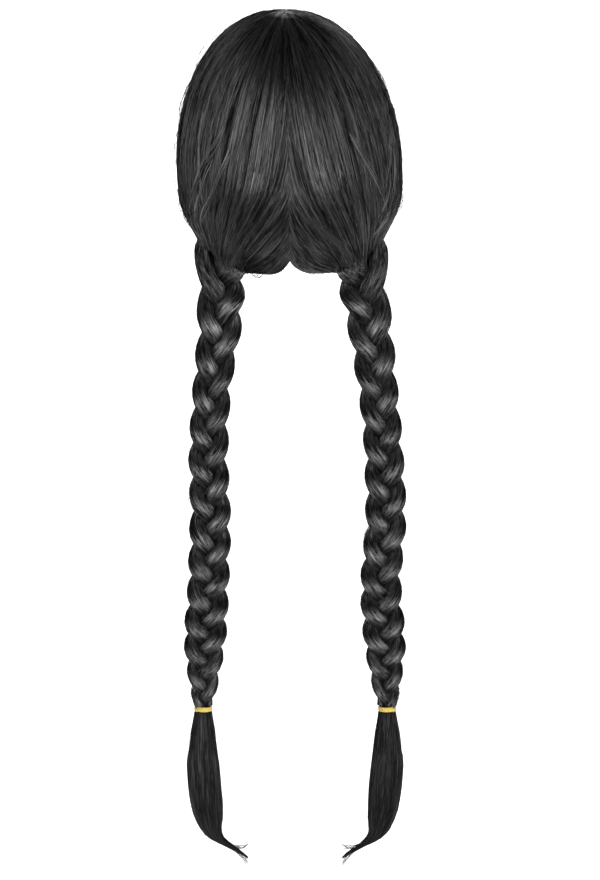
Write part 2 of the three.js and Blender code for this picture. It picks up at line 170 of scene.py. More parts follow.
# Rows of a plait from the gather to the elastic, as in the part
PLAIT_ROWS = {
    "left": [
        {"out": 0, "back": 0.0, "width": 1.34, "depth": 1.22, "pitch": 1.3},
        {"out": 0.02, "back": 0.22, "width": 1.19, "depth": 1.08, "pitch": 1.16},
        {"out": 0.29, "back": 0.5, "width": 1.02, "depth": 1.0, "pitch": 1.04},
        {"out": 0.41, "back": 0.72, "width": 1.04, "depth": 1.0, "pitch": 1.0},
        {"out": 0.36, "back": 0.88, "width": 1.08, "depth": 1.0, "pitch": 0.98},
        {"out": 0.43, "back": 0.97, "width": 1.1, "depth": 1.0, "pitch": 0.9},
        {"out": 0.57, "back": 1.0, "width": 1.1, "depth": 0.98, "pitch": 0.82},
        {"out": 0.64, "back": 1.0, "width": 0.62, "depth": 0.62, "pitch": 0.72},
    ],
    "right": [
        {"out": 0.05, "back": 0.0, "width": 1.34, "depth": 1.22, "pitch": 1.3},
        {"out": 0.33, "back": 0.22, "width": 1.19, "depth": 1.08, "pitch": 1.16},
        {"out": 0.63, "back": 0.5, "width": 1.06, "depth": 1.0, "pitch": 1.04},
        {"out": 0.83, "back": 0.72, "width": 1.03, "depth": 1.0, "pitch": 1.0},
        {"out": 0.91, "back": 0.88, "width": 1.08, "depth": 1.0, "pitch": 0.98},
        {"out": 0.76, "back": 0.97, "width": 1.08, "depth": 1.0, "pitch": 0.9},
        {"out": 0.9, "back": 1.0, "width": 1.1, "depth": 0.98, "pitch": 0.82},
        {"out": 1.0, "back": 1.0, "width": 0.64, "depth": 0.62, "pitch": 0.72},
    ],
}

TAIL_ROWS = [
    {"width": 0.56, "depth": 0.7, "sweep": 0},
    {"width": 0.8, "depth": 0.86, "sweep": -0.01},
    {"width": 0.95, "depth": 0.98, "sweep": -0.01},
    {"width": 1, "depth": 1, "sweep": 0.02},
    {"width": 0.98, "depth": 0.92, "sweep": 0.06},
    {"width": 0.85, "depth": 0.74, "sweep": 0.12},
    {"width": 0.47, "depth": 0.5, "sweep": 0.27},
    {"width": 0.08, "depth": 0.14, "sweep": 1},
]

# The locks of a loose end. flick: how far the tip turns up. fibres: how many are drawn on it.
TAIL_LOCKS = [
    {"aside": 0, "behind": 0, "size": 1, "reach": 1, "flick": 0, "fibres": 300},
    {"aside": 0.6, "behind": 0.35, "size": 0.5, "reach": 1, "flick": 0, "fibres": 110},
    {"aside": -0.55, "behind": 0.4, "size": 0.48, "reach": 1, "flick": 0.016, "fibres": 110},
]

HEM_ROWS = [
    {"rise": 42},
    {"rise": 38},
    {"rise": 27},
    {"rise": 16},
    {"rise": 4},
    {"rise": -12},
    {"rise": -17},
]

SIDES = [
    {"name": "left", "out": 1, "rows": PLAIT_ROWS["left"], "seed": 11},
    {"name": "right", "out": -1, "rows": PLAIT_ROWS["right"], "seed": 57},
]


# Small sums used throughout


def smooth(value, low, high):
    t = np.clip((np.asarray(value, float) - low) / (high - low), 0, 1)
    return t * t * (3 - 2 * t)


def mix(a, b, share):
    return a + (b - a) * share


def sample(rows, column, share):
    """A column of a table at a share of its length, on a smooth curve through its rows."""
    values = np.array([row[column] for row in rows], float)
    place = np.clip(share, 0, 1) * (len(rows) - 1)
    row = np.minimum(np.floor(place).astype(int), len(rows) - 2)
    a, b, c, d = (values[np.clip(row + step, 0, len(rows) - 1)] for step in (-1, 0, 1, 2))
    t = place - row
    return b + t * (c - a + t * (2 * a - 5 * b + 4 * c - d + t * (3 * (b - c) + d - a))) / 2


def drift(x, y, seed):
    """Smooth random values from -1 to 1 over a plane, the same on every run."""
    table = np.random.default_rng(seed).uniform(-1, 1, (128, 128))
    x, y = np.broadcast_arrays(np.asarray(x, float), np.asarray(y, float))
    column, row = np.floor(x).astype(int), np.floor(y).astype(int)
    fx, fy = x - column, y - row
    fx, fy = fx * fx * (3 - 2 * fx), fy * fy * (3 - 2 * fy)
    near = mix(table[row % 128, column % 128], table[row % 128, (column + 1) % 128], fx)
    far = mix(table[(row + 1) % 128, column % 128], table[(row + 1) % 128, (column + 1) % 128], fx)
    return mix(near, far, fy)


# The head's form and the combing over it


def direction(turn, rise):
    """Directions from the head's middle: turn from the left ear towards the back, rise above the level."""
    turn, rise = np.radians(turn), np.radians(rise)
    level = np.cos(rise)
    return np.stack([level * np.cos(turn), level * np.sin(turn), np.sin(rise) + 0 * turn], -1)


def head_point(toward, side, front, back, under, crown):
    """Points of the head's rounded form, grown by its own amount each way."""
    reach = np.stack([
        HEAD_HALF_BREADTH + side + 0 * toward[..., 0],
        np.where(toward[..., 1] < 0, HEAD_FRONT + front, HEAD_BACK + back),
        np.where(toward[..., 2] < 0, HEAD_UNDERSIDE + under, HEAD_CROWN + crown),
    ], -1)
    size = (np.abs(toward) ** ROUNDNESS).sum(-1) ** (1 / ROUNDNESS)
    return toward / size[..., None] * reach + HEAD_CENTRE


def even_growth(amount):
    return {"side": amount, "front": amount, "back": amount, "under": amount, "crown": amount}


def hair_growth(depth, lift):
    """How far the hair stands out from the head, from 0 on its outside to 1 on its inside."""
    seat = HEM_WALL + SEAT_GAP + lift
    outside = 1 - depth
    return {
        "side": seat + EAR_STAND_OFF + THICKNESS_SIDE * outside,
        "front": seat + THICKNESS_FRONT * outside,
        "back": seat + THICKNESS_BACK * outside,
        "under": seat + THICKNESS_UNDER * outside,
        "crown": seat + THICKNESS_CROWN * outside,
    }


def plait_middle(side, share):
    """The middle of a plait at a share of its length, as if it hung on the left."""
    share = np.asarray(share, float)
    return np.stack([
        GATHER_OUT + SWAY_OUT * sample(side["rows"], "out", share),
        GATHER_BACK + SWAY_BACK * sample(side["rows"], "back", share),
        -GATHER_DROP - PIECE_GAP - PLAIT_LENGTH * share,
    ], -1)


def gather_point(side, ring, up, lift):
    """A point on the round neck of gathered hair, ring in degrees round it."""
    middle = plait_middle(side, 0.0)
    out = (GATHER_HALF_WIDTH + lift) * np.cos(np.radians(ring))
    back = (GATHER_HALF_DEPTH + lift) * np.sin(np.radians(ring))
    tilted = out * math.tan(math.radians(GATHER_TILT))
    return np.stack([middle[0] + out, middle[1] + back, -GATHER_DROP + tilted + up], -1)


def combed_direction(side, round_, along):
    """The way that the hair takes over the head, through four directions."""
    part = np.radians(sample(COMBING, "part", round_))
    ring = sample(COMBING, "ring", round_)
    stations = [
        np.stack([0 * part, -np.cos(part), np.sin(part)], -1),
        direction(sample(COMBING, "turn_a", round_), sample(COMBING, "rise_a", round_)),
        direction(sample(COMBING, "turn_b", round_), sample(COMBING, "rise_b", round_)),
        gather_point(side, ring, 0 * ring, 0.0) - HEAD_CENTRE,
    ]
    stations[3] = stations[3] / np.array([HEAD_HALF_BREADTH, HEAD_BACK, HEAD_UNDERSIDE])
    stations[3] /= np.linalg.norm(stations[3], axis=-1, keepdims=True)
    s = np.asarray(along, float)
    weights = [
        -4.5 * (s - 1 / 3) * (s - 2 / 3) * (s - 1),
        13.5 * s * (s - 2 / 3) * (s - 1),
        -13.5 * s * (s - 1 / 3) * (s - 1),
        4.5 * s * (s - 1 / 3) * (s - 2 / 3),
    ]
    toward = sum(weight[..., None] * station for weight, station in zip(weights, stations))
    return toward / np.linalg.norm(toward, axis=-1, keepdims=True)


def thinning(round_, along):
    """How far the outside comes down to the inside, at the front parting and along the free edges."""
    edge = 1 - smooth(np.minimum(round_, 1 - round_), 0, 0.06)
    front = 1 - smooth(round_, 0.3, 0.4)
    parting = (1 - smooth(along, 0, 0.08)) * front
    return np.maximum(EDGE_THINNING * edge, PARTING_THINNING * parting)


def combed(side, round_, along, lift, inside=False):
    """Points on one side's hair. round_: share from the forehead to the nape. along: share to the gather."""
    round_, along, lift = np.broadcast_arrays(*(np.asarray(v, float) for v in (round_, along, lift)))
    toward = combed_direction(side, round_, along)
    depth = 1.0 if inside else thinning(round_, along)
    draped = head_point(toward, **hair_growth(depth, lift))
    ring = sample(COMBING, "ring", round_)
    if inside:
        first = COMBING[0]["ring"] - GATHER_EDGE
        last = COMBING[-1]["ring"] - 360 + GATHER_EDGE
        ring = mix(first, last, round_)
    up = GATHER_NECK * sample(COMBING, "neck", round_) * (1 - along)
    seat = gather_point(side, ring, up, lift)
    lean = np.clip(1 + draped[..., 2] / HEAD_CROWN, 0, 1)
    draped[..., 0] += side["out"] * CROWN_LEAN * lean * (0 if inside else 1)
    point = mix(draped, seat, smooth(along, GATHER_START, 1)[..., None])
    point[..., 0] -= MIDLINE_OVERLAP
    return point


def to_side(side, points):
    """Points worked out on the left, moved to the side where they belong."""
    return points * np.array([side["out"], 1.0, 1.0])


def relief(side, round_, along):
    """How far the hair's outside rises and sinks in locks, large and small."""
    seed = side["seed"]
    grown = smooth(along, 0.02, 0.22)
    low = smooth(along, 0.38, 0.66)
    line = 0.575 + 0.012 * drift(along * 5, 0.3, seed + 5)
    groove = low * np.exp(-(((round_ - line) / 0.009) ** 2))
    over = low * smooth(line - round_, 0.0, 0.02) * np.exp(-np.maximum(line - round_, 0) / 0.09)
    tucked = smooth(along, 0.93, 1)
    outer = smooth(round_, 0.12, 0.25) * smooth(0.62 - round_, 0, 0.12)
    bulge = SLACK_BULGE * np.exp(-(((along - 0.77) / 0.09) ** 2))
    slack = outer * (bulge - GATHER_PINCH * smooth(along, 0.88, 0.97))
    large = drift(round_ * 26 + 0.6 * along, along * 2.2, seed)
    small = drift(round_ * 95 + 1.5 * along, along * 4.0, seed + 1)
    fine = drift(round_ * 260 + 3.0 * along, along * 6.0, seed + 2)
    locks = LOCK_RISES[0] * large + LOCK_RISES[1] * small + LOCK_RISES[2] * fine
    return grown * (locks - GROOVE_DEPTH * groove + OVERLAP_RISE * over) - TUCK * tucked + slack


# Meshes made from rows of points


def signed_volume(points, faces):
    faces = np.array([(face[0], face[i], face[i + 1]) for face in faces for i in range(1, len(face) - 1)])
    a, b, c = (points[faces[:, i]] for i in range(3))
    return np.einsum("ij,ij->i", a, np.cross(b, c)).sum() / 6


def piece_from(name, points, faces, lanes, reaches, finish):
    """A closed smooth mesh, faces outwards, with a map of lane and reach for its finish."""
    points = np.asarray(points, float)
    if signed_volume(points, faces) < 0:
        faces = [face[::-1] for face in faces]
    mesh = bpy.data.meshes.new(name)
    mesh.from_pydata(points.tolist(), [], [list(face) for face in faces])
    mesh.materials.append(finish)
    mesh.shade_smooth()
    mesh.set_sharp_from_angle(angle=math.radians(50))
    lay_map(mesh, np.asarray(lanes, float), np.asarray(reaches, float))
    made = bpy.data.objects.new(name, mesh)
    bpy.context.scene.collection.objects.link(made)
    return made


def lay_map(mesh, lanes, reaches):
    corners = np.zeros(len(mesh.loops), int)
    mesh.loops.foreach_get("vertex_index", corners)
    laid = np.stack([lanes[corners], reaches[corners]], -1)
    layer = mesh.uv_layers.new(name="OFBake")
    layer.data.foreach_set("uv", laid.astype(np.float32).ravel())


def loft_faces(rows, count):
    faces = []
    for row in range(rows - 1):
        for i in range(count):
            a, b = row * count + i, row * count + (i + 1) % count
            faces.append((a, b, b + count, a + count))
    last = (rows - 1) * count
    faces.append(tuple(range(count))[::-1])
    faces.append(tuple(last + i for i in range(count)))
    return faces


def lofted(name, loops, lanes, reaches, finish):
    """A closed skin through loops of the same number of points."""
    rows, count = loops.shape[:2]
    points = loops.reshape(-1, 3)
    lane = np.broadcast_to(lanes, (rows, count)).reshape(-1)
    reach = np.broadcast_to(reaches, (rows, count)).reshape(-1)
    return piece_from(name, points, loft_faces(rows, count), lane, reach, finish)


# Fibres: lines that a node tree draws out to thin closed tubes


def fibre_tree():
    tree = bpy.data.node_groups.new("drawn fibres", "GeometryNodeTree")
    face = tree.interface
    face.new_socket("Lines", in_out="INPUT", socket_type="NodeSocketGeometry")
    inputs = [
        ("Girth", "NodeSocketFloat", 1.0),
        ("Flats", "NodeSocketInt", 3),
        ("Waver", "NodeSocketFloat", 0.0002),
        ("Waver Length", "NodeSocketFloat", 0.02),
        ("Seed", "NodeSocketFloat", 1.0),
    ]
    for name, kind, value in inputs:
        face.new_socket(name, in_out="INPUT", socket_type=kind).default_value = value
    face.new_socket("Finish", in_out="INPUT", socket_type="NodeSocketMaterial")
    face.new_socket("Fibres", in_out="OUTPUT", socket_type="NodeSocketGeometry")
    add, link = tree.nodes.new, tree.links.new
    given = add("NodeGroupInput")
    lines = add("GeometryNodeMeshToCurve")
    link(given.outputs["Lines"], lines.inputs["Mesh"])

    # A slow waver that is the same on every run
    place = add("GeometryNodeInputPosition")
    noise = add("ShaderNodeTexNoise")
    noise.noise_dimensions = "4D"
    link(place.outputs["Position"], noise.inputs["Vector"])
    link(maths(tree, "DIVIDE", 1.0, given.outputs["Waver Length"]), noise.inputs["Scale"])
    lane = add("GeometryNodeInputNamedAttribute")
    lane.data_type = "FLOAT"
    lane.inputs["Name"].default_value = "lane"
    own = maths(tree, "MULTIPLY_ADD", lane.outputs["Attribute"], 40.0, given.outputs["Seed"])
    link(own, noise.inputs["W"])
    centred = add("ShaderNodeVectorMath")
    centred.operation = "SUBTRACT"
    centred.inputs[1].default_value = (0.5, 0.5, 0.5)
    link(noise.outputs["Color"], centred.inputs[0])
    scaled = add("ShaderNodeVectorMath")
    scaled.operation = "SCALE"
    link(centred.outputs[0], scaled.inputs[0])
    link(given.outputs["Waver"], scaled.inputs["Scale"])
    moved = add("GeometryNodeSetPosition")
    link(lines.outputs["Curve"], moved.inputs["Geometry"])
    link(scaled.outputs[0], moved.inputs["Offset"])

    # Each fibre's own girth, down to its fine tips
    girth = add("GeometryNodeInputNamedAttribute")
    girth.data_type = "FLOAT"
    girth.inputs["Name"].default_value = "girth"
    sized = maths(tree, "MULTIPLY", girth.outputs["Attribute"], given.outputs["Girth"])
    profile = add("GeometryNodeCurvePrimitiveCircle")
    profile.inputs["Radius"].default_value = 1.0
    link(given.outputs["Flats"], profile.inputs["Resolution"])
    tubes = add("GeometryNodeCurveToMesh")
    tubes.inputs["Fill Caps"].default_value = True
    link(moved.outputs["Geometry"], tubes.inputs["Curve"])
    link(sized, tubes.inputs["Scale"])
    link(profile.outputs["Curve"], tubes.inputs["Profile Curve"])
    rounded = add("GeometryNodeSetShadeSmooth")
    link(tubes.outputs["Mesh"], rounded.inputs["Geometry"])
    real = add("GeometryNodeRealizeInstances")
    link(rounded.outputs["Geometry"], real.inputs["Geometry"])
    finished = add("GeometryNodeSetMaterial")
    link(real.outputs["Geometry"], finished.inputs["Geometry"])
    link(given.outputs["Finish"], finished.inputs["Material"])
    out = add("NodeGroupOutput")
    link(finished.outputs["Geometry"], out.inputs["Fibres"])
    return tree


def drawn(name, lines, girths, lanes, finish, reaches=None, flats=3, waver=0.0002, waver_length=0.02,
          seed=1.0):
    """Fibres along lines of points. girths: each point's radius. lanes, reaches: their places in the map."""
    count, steps = lines.shape[:2]
    mesh = bpy.data.meshes.new(name + "_lines")
    starts = np.arange(count)[:, None] * steps + np.arange(steps - 1)
    edges = np.stack([starts, starts + 1], -1).reshape(-1, 2)
    mesh.from_pydata(lines.reshape(-1, 3).tolist(), edges.tolist(), [])
    reach = np.broadcast_to(np.linspace(0, 1, steps) if reaches is None else reaches, (count, steps))
    lane = np.broadcast_to(np.asarray(lanes, float)[:, None], (count, steps))
    columns = {"girth": np.broadcast_to(girths, (count, steps)), "lane": lane, "reach": reach}
    for column, values in columns.items():
        attribute = mesh.attributes.new(column, "FLOAT", "POINT")
        attribute.data.foreach_set("value", values.astype(np.float32).ravel())
    made = bpy.data.objects.new(name, mesh)
    bpy.context.scene.collection.objects.link(made)
    modifier = made.modifiers.new("fibres", "NODES")
    modifier.node_group = FIBRE_TREE
    settings = {
        "Girth": 1.0,
        "Flats": flats,
        "Waver": waver,
        "Waver Length": waver_length,
        "Seed": seed,
        "Finish": finish,
    }
    for item in FIBRE_TREE.interface.items_tree:
        if item.in_out == "INPUT" and item.name in settings:
            modifier[item.identifier] = settings[item.name]
    bpy.context.view_layer.update()
    seen = made.evaluated_get(bpy.context.evaluated_depsgraph_get())
    plain = bpy.data.meshes.new_from_object(seen)
    plain.name = name
    made.modifiers.clear()
    made.data = plain
    values = {}
    for column in ("lane", "reach"):
        values[column] = np.zeros(len(plain.vertices), np.float32)
        plain.attributes[column].data.foreach_get("value", values[column])
    lay_map(plain, values["lane"], values["reach"])
    for column in ("lane", "reach", "girth"):
        if column in plain.attributes:
            plain.attributes.remove(plain.attributes[column])
    return made


def tapered(count, steps, girth, seed, root=0.6, tip=0.25, tip_length=0.18):
    """Radii of fibres that vary from one to the next and thin out to both ends."""
    rng = np.random.default_rng(seed)
    own = girth * rng.uniform(0.75, 1.25, (count, 1))
    t = np.linspace(0, 1, steps)
    ends = mix(root, 1, smooth(t, 0, 0.08)) * mix(tip, 1, smooth(1 - t, 0, tip_length))
    return own * ends


# Finishes


def linked(tree, socket, value):
    """Sets a socket to a number, or links it to another node's output."""
    if isinstance(value, (int, float)):
        socket.default_value = value
    else:
        tree.links.new(value, socket)


def maths(tree, operation, *values):
    """A sum in a node tree, on numbers and on other nodes' outputs."""
    made = tree.nodes.new("ShaderNodeMath")
    made.operation = operation
    for socket, value in zip(made.inputs, values):
        linked(tree, socket, value)
    return made.outputs[0]


def ranged(tree, value, from_min=0.0, from_max=1.0, to_min=0.0, to_max=1.0):
    """A value moved from one range to another, and kept within it."""
    made = tree.nodes.new("ShaderNodeMapRange")
    limits = {"Value": value, "From Min": from_min, "From Max": from_max, "To Min": to_min, "To Max": to_max}
    for name, limit in limits.items():
        linked(tree, made.inputs[name], limit)
    return made.outputs["Result"]


def map_places(tree):
    """The lane and the reach of a piece's own map."""
    laid = tree.nodes.new("ShaderNodeUVMap")
    laid.uv_map = "OFBake"
    split = tree.nodes.new("ShaderNodeSeparateXYZ")
    tree.links.new(laid.outputs["UV"], split.inputs[0])
    return split.outputs["X"], split.outputs["Y"]


def streak_group():
    """Fine streaks along the fibres: u is a fibre's lane and v its reach on the piece's own map."""
    group = bpy.data.node_groups.new("fibre streaks", "ShaderNodeTree")
    face = group.interface
    for name, value in (("Lanes", 300.0), ("Run", 3.0), ("Shift", 0.0)):
        face.new_socket(name, in_out="INPUT", socket_type="NodeSocketFloat").default_value = value
    face.new_socket("Shade", in_out="OUTPUT", socket_type="NodeSocketFloat")
    face.new_socket("Height", in_out="OUTPUT", socket_type="NodeSocketFloat")
    given, out = group.nodes.new("NodeGroupInput"), group.nodes.new("NodeGroupOutput")
    lane, reach = map_places(group)
    down = maths(group, "MULTIPLY_ADD", reach, given.outputs["Run"], given.outputs["Shift"])

    def streaks(share):
        place = group.nodes.new("ShaderNodeCombineXYZ")
        lanes = maths(group, "MULTIPLY", given.outputs["Lanes"], share)
        group.links.new(maths(group, "MULTIPLY", lane, lanes), place.inputs["X"])
        group.links.new(down, place.inputs["Y"])
        noise = group.nodes.new("ShaderNodeTexNoise")
        noise.noise_dimensions = "2D"
        noise.inputs["Scale"].default_value = 1.0
        noise.inputs["Detail"].default_value = 3.0
        noise.inputs["Roughness"].default_value = 0.62
        group.links.new(place.outputs[0], noise.inputs["Vector"])
        return noise.outputs["Fac"]

    broad, narrow = streaks(0.12), streaks(1.0)
    both = maths(group, "MULTIPLY_ADD", narrow, 0.72, maths(group, "MULTIPLY", broad, 0.28))
    group.links.new(ranged(group, both, from_min=0.4, from_max=0.61), out.inputs["Shade"])
    group.links.new(narrow, out.inputs["Height"])
    return group


def ramp(tree, value, stops):
    """Colours along a value, from one stop to the next."""
    made = tree.nodes.new("ShaderNodeValToRGB")
    elements = made.color_ramp.elements
    while len(elements) < len(stops):
        elements.new(0.5)
    for element, (position, colour) in zip(elements, stops):
        element.position = position
        element.color = (*colour, 1)
    tree.links.new(value, made.inputs["Fac"])
    return made.outputs["Color"]


def new_finish(name):
    material = bpy.data.materials.new(name)
    material.use_nodes = True
    return material, material.node_tree, material.node_tree.nodes["Principled BSDF"]


def roughen(tree, shader, height, strength, distance):
    bump = tree.nodes.new("ShaderNodeBump")
    bump.inputs["Strength"].default_value = strength
    bump.inputs["Distance"].default_value = distance
    tree.links.new(height, bump.inputs["Height"])
    tree.links.new(bump.outputs["Normal"], shader.inputs["Normal"])


def hair_finish(name, lanes, run, shift, sheen, painted_fade, gloss_rough=0.31, gloss_ior=1.8, crown=False,
                painted_lobe_shade=False):
    """Near-black fibre with a streaky sheen. fade: a painted shade that dims the sheen along its reach, to
    this share of it at the end. crown: painted highlight streaks round the whorl, in a pale base colour.
    lobes: a plait's strand, whose reach is in turns, gets a painted shade on its sheen where it dives under
    the others and a painted highlight over the middle of each lobe."""
    material, tree, shader = new_finish(name)
    streaks = tree.nodes.new("ShaderNodeGroup")
    streaks.node_tree = STREAKS
    streaks.inputs["Lanes"].default_value = lanes
    streaks.inputs["Run"].default_value = run
    streaks.inputs["Shift"].default_value = shift
    shade = streaks.outputs["Shade"]
    colour = ramp(tree, shade, HAIR_STOPS)
    lane, reach = map_places(tree)
    # Painted highlight: pale base colour in streaks round the whorl
    if crown:
        pale = tree.nodes.new("ShaderNodeMix")
        pale.data_type = "RGBA"
        pale.inputs["B"].default_value = (*WHORL_HIGHLIGHT_COLOUR, 1)
        tree.links.new(whorl(tree, lane, reach, shade), pale.inputs["Factor"])
        tree.links.new(colour, pale.inputs["A"])
        colour = pale.outputs["Result"]
    tree.links.new(colour, shader.inputs["Base Color"])
    tree.links.new(ranged(tree, shade, to_min=0.5, to_max=0.36), shader.inputs["Roughness"])
    # Painted shade: the sheen dims along the reach, to its share at the end
    sheen_with_painted_light = ranged(tree, reach, to_min=sheen, to_max=sheen * painted_fade)
    # Painted shade and painted highlight: the sheen dims where a strand dives under the others and brightens
    # over each lobe
    if painted_lobe_shade:
        turn = 8 * math.pi
        phase = maths(tree, "MULTIPLY_ADD", reach, turn * MOST_TURNS, -turn * LOBE_CENTRE)
        wave = maths(tree, "COSINE", phase)
        painted_lobe_light = ranged(tree, wave, from_min=-1.0, to_min=LOBE_PAINTED_SHADE, to_max=LOBE_PAINTED_HIGHLIGHT)
        sheen_with_painted_light = maths(tree, "MULTIPLY", painted_lobe_light, sheen_with_painted_light)
    tree.links.new(ranged(tree, shade, from_min=0.1, to_max=sheen_with_painted_light), shader.inputs["Coat Weight"])
    roughen(tree, shader, streaks.outputs["Height"], 0.4, 0.0003)
    shader.inputs["Specular IOR Level"].default_value = 0.06
    shader.inputs["Coat Roughness"].default_value = gloss_rough
    shader.inputs["Coat IOR"].default_value = gloss_ior
    return material


def whorl(tree, lane, reach, shade):
    """A mask of painted highlight streaks round the whorl: the first of each fibre's reach, over the crown's
    lanes.
    """
    near = ranged(tree, reach, from_min=0.075, from_max=0.01)
    over_crown = ranged(tree, lane, from_min=0.42, from_max=0.5)
    streaky = ranged(tree, shade, from_min=0.4, from_max=0.8)
    return maths(tree, "MULTIPLY", maths(tree, "MULTIPLY", near, over_crown), streaky)


def net_finish():
    """Matt stretch net: a fine diamond mesh with a little fuzz."""
    material, tree, shader = new_finish("cap net")
    place = tree.nodes.new("ShaderNodeTexCoord")
    threads = []
    for turn in (45, -45):
        turned = tree.nodes.new("ShaderNodeMapping")
        turned.inputs["Rotation"].default_value = (0, math.radians(turn), 0)
        tree.links.new(place.outputs["Object"], turned.inputs["Vector"])
        wave = tree.nodes.new("ShaderNodeTexWave")
        wave.inputs["Scale"].default_value = 190
        wave.inputs["Distortion"].default_value = 0.6
        wave.inputs["Detail Scale"].default_value = 40
        tree.links.new(turned.outputs["Vector"], wave.inputs["Vector"])
        threads.append(wave.outputs["Fac"])
    crossed = maths(tree, "MAXIMUM", *threads)
    tree.links.new(ramp(tree, crossed, NET_STOPS), shader.inputs["Base Color"])
    roughen(tree, shader, crossed, 0.7, 0.0003)
    shader.inputs["Roughness"].default_value = 0.85
    return material


def elastic_finish():
    """Gold yarn wound over rubber: short slanting threads round the cord."""
    material, tree, shader = new_finish("gold elastic")
    laid = tree.nodes.new("ShaderNodeUVMap")
    laid.uv_map = "OFBake"
    stretched = tree.nodes.new("ShaderNodeMapping")
    stretched.inputs["Scale"].default_value = (5, 230, 1)
    tree.links.new(laid.outputs["UV"], stretched.inputs["Vector"])
    wave = tree.nodes.new("ShaderNodeTexWave")
    wave.bands_direction = "DIAGONAL"
    wave.inputs["Scale"].default_value = 0.35
    wave.inputs["Distortion"].default_value = 0.8
    tree.links.new(stretched.outputs["Vector"], wave.inputs["Vector"])
    tree.links.new(ramp(tree, wave.outputs["Fac"], GOLD_STOPS), shader.inputs["Base Color"])
    roughen(tree, shader, wave.outputs["Fac"], 0.5, 0.0002)
    shader.inputs["Roughness"].default_value = 0.5
    return material


def stage_finish():
    """A pale matt finish that glows a little, so that it stays white."""
    material, _, shader = new_finish("pale sweep")
    shader.inputs["Base Color"].default_value = (0.88, 0.88, 0.89, 1)
    shader.inputs["Roughness"].default_value = 0.9
    shader.inputs["Emission Color"].default_value = (1, 1, 1, 1)
    shader.inputs["Emission Strength"].default_value = 1.0
    return material


# The hair over the head


def hair_bed(side, section, finish):
    """The closed bed of one section, with its locks raised on it."""
    columns = int(620 * (section["end"] - section["start"]))
    rows = 32
    round_ = np.linspace(section["start"], section["end"], columns + 1)
    along = np.linspace(0, 1, rows + 1)[:, None]
    outside = combed(side, round_, along, relief(side, round_, along))
    inner = np.linspace(section["end"], section["start"], columns // 6 + 1)
    inside = combed(side, inner, along, 0 * inner, inside=True)
    loops = np.concatenate([outside, inside], 1)
    lanes = np.concatenate([round_, inner])
    return lofted(section["name"] + "_bed_" + side["name"], to_side(side, loops), lanes, along, finish)


def spacing(side, round_):
    """How wide a step of round_ is at its widest along the hair."""
    along = np.linspace(0.15, 0.75, 7)[:, None]
    step = combed(side, round_ + 0.002, along, 0.0) - combed(side, round_ - 0.002, along, 0.0)
    return np.linalg.norm(step, axis=-1).max(0)


def sown(side, section, count, rng):
    """Places from one edge of a section to the other, evenly spread over the head."""
    grid = np.linspace(section["start"] + 0.003, section["end"] - 0.003, 200)
    weight = spacing(side, grid)
    total = np.concatenate([[0], np.cumsum((weight[1:] + weight[:-1]) / 2)])
    return np.interp(rng.uniform(0, total[-1], count), total, grid)


def combed_fibres(side, section, count, finish):
    """Fine fibres laid along the combing, in locks of their own."""
    seed = side["seed"] * 10 + int(section["start"] * 100)
    rng = np.random.default_rng(seed)
    steps = 13
    loose = np.arange(count)[:, None] > 0.9 * count
    across = 0.04 if section["start"] > 0.3 else 0.0
    start = 0.5 * rng.uniform(0, 1, (count, 1)) ** 1.6 - across
    end = np.where(rng.uniform(0, 1, (count, 1)) < 0.6, 1.0, rng.uniform(0.82, 1.0, (count, 1)))
    start = np.where(loose, rng.uniform(0.15, 0.8, (count, 1)), start)
    end = np.where(loose, start + rng.uniform(0.08, 0.22, (count, 1)), end)
    along = mix(start, end, np.linspace(0, 1, steps))
    home = sown(side, section, count, rng)[:, None]
    own = rng.uniform(0, 100, (count, 1))
    wander = 0.0035 * drift(along * 3 + own, own, seed + 1)
    lock = 0.0028 * drift(home * 170, along * 2.5, seed + 2)
    stray = np.where(rng.uniform(0, 1, (count, 1)) < 0.05, 0.02, 0.0) * rng.uniform(-1, 1, (count, 1))
    stray = np.where(loose, 0.03 * rng.uniform(-1, 1, (count, 1)), stray)
    round_ = np.clip(home + wander + lock + stray * (along - 0.5), 0.002, 0.998)
    height = rng.uniform(0.0, 1.0, (count, 1)) ** 1.5
    share = np.linspace(0, 1, steps)
    far = LOOSE_REACH * rng.uniform(0, 1, (count, 1)) ** 1.3
    off = far * np.sin(np.pi * share ** rng.uniform(0.6, 2.5, (count, 1)))
    lift = 0.0001 + LIFT * height + 0.0002 * drift(along * 5 + own, own + 3, seed + 3)
    lift = lift + np.where(loose, off, 0)
    lines = combed(side, round_, along, relief(side, round_, along) + lift)
    girths = tapered(count, steps, HEAD_FIBRE, seed + 4) * np.where(loose, 0.75, 1)
    name = section["name"] + "_fibres_" + side["name"]
    lanes = round_.mean(1) + rng.normal(0, 0.0012, count)
    return drawn(name, to_side(side, lines), girths, lanes, finish, along, waver_length=0.06, seed=seed)


# Locks that cross the others near the outline: where each starts and ends, round and along
CROSSING = {
    "left": [
        (0.59, 0.5, 0.46, 0.73),
        (0.57, 0.56, 0.49, 0.78),
        (0.62, 0.55, 0.53, 0.8),
        (0.5, 0.45, 0.56, 0.7),
    ],
    "right": [
        (0.4, 0.48, 0.53, 0.66),
        (0.44, 0.55, 0.55, 0.74),
        (0.42, 0.62, 0.56, 0.84),
        (0.6, 0.5, 0.5, 0.72),
    ],
}


